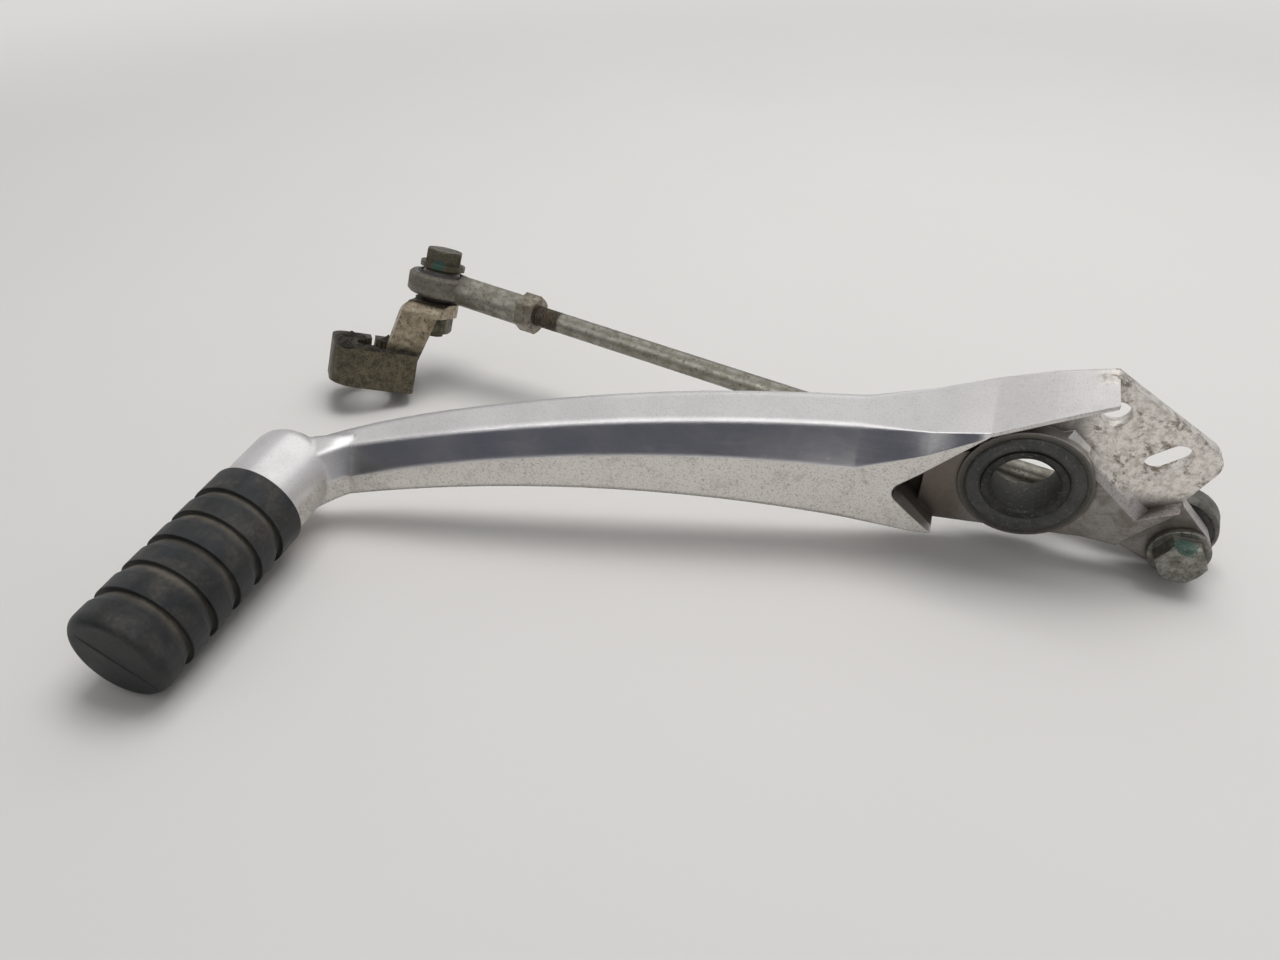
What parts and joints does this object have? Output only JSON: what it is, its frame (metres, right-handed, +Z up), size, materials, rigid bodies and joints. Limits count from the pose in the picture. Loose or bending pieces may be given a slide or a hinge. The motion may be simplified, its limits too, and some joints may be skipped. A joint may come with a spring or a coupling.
{
  "type": "gear shift linkage",
  "caption": "Motorbike gear shift linkage: faceted alloy foot pedal with ribbed rubber and pivot hub, tie rod on ball-joint ends and a cranked arm that clamps on the shift shaft.",
  "frame": {"origin": "middle of the pivot bush, on the pivot axis", "axes": "+X from the foot peg towards the rear ball joint, along the pedal; +Y inboard along the pivot axis, -Y towards the rider's foot; +Z up as the linkage lies in the picture"},
  "size_m": [0.2984, 0.187, 0.0723],
  "materials": {
    "pedal_alloy": "polished alloy, dulled and pitted by age",
    "peg_rubber": "matt black rubber, dusty in the grooves",
    "bush_steel": "turned steel, greasy",
    "seal_rubber": "dark grey-green rubber",
    "bolt_zinc": "zinc plated, dirty, with a paint mark",
    "rod_zinc": "dull zinc plating",
    "joint_steel": "darkened forged steel",
    "ball_steel": "ground steel",
    "race_liner": "dark liner",
    "boot_rubber": "black rubber",
    "arm_steel": "forged steel, oily brown with light rust"
  },
  "bodies": {
    "pedal": {"pedal_arm": "pedal_alloy", "pedal_rubber": "peg_rubber", "pivot_bush": "bush_steel", "front_dust_seal": "seal_rubber", "rear_dust_seal": "seal_rubber", "rear_joint_bolt": "bolt_zinc", "rear_joint_nut": "bolt_zinc"},
    "rear_joint": {"rear_ball": "ball_steel"},
    "rod": {"tie_rod": "rod_zinc", "rear_race": "race_liner", "rear_outer_boot": "boot_rubber", "rear_inner_boot": "boot_rubber", "front_lock_nut": "bolt_zinc", "front_rod_end": "joint_steel", "front_race": "race_liner", "front_upper_boot": "boot_rubber", "front_lower_boot": "boot_rubber"},
    "front_joint": {"front_ball": "ball_steel"},
    "clamp_arm": {"shift_arm": "arm_steel", "front_joint_bolt": "bolt_zinc", "front_joint_nut": "bolt_zinc"}
  },
  "joints": [
    {"name": "rod_swing", "type": "hinge", "parent": "pedal", "child": "rear_joint", "pos_m": [0.0443, 0.008, -0.0141], "axis": [0, 1, 0], "range_deg": [-15, 15]},
    {"name": "rod_tilt", "type": "hinge", "parent": "rear_joint", "child": "rod", "pos_m": [0.0443, 0.008, -0.0141], "axis": [0.0558, 0, 0.9984], "range_deg": [-1.5, 3]},
    {"name": "arm_tilt", "type": "hinge", "parent": "rod", "child": "front_joint", "pos_m": [-0.20676, 0.04918, -0.00006], "axis": [0.1257, 0.9051, -0.4061], "range_deg": [-6, 6]},
    {"name": "arm_swing", "type": "hinge", "parent": "front_joint", "child": "clamp_arm", "pos_m": [-0.20676, 0.04918, -0.00006], "axis": [0.1155, 0.3932, 0.9122], "range_deg": [-30, 10]}
  ]
}
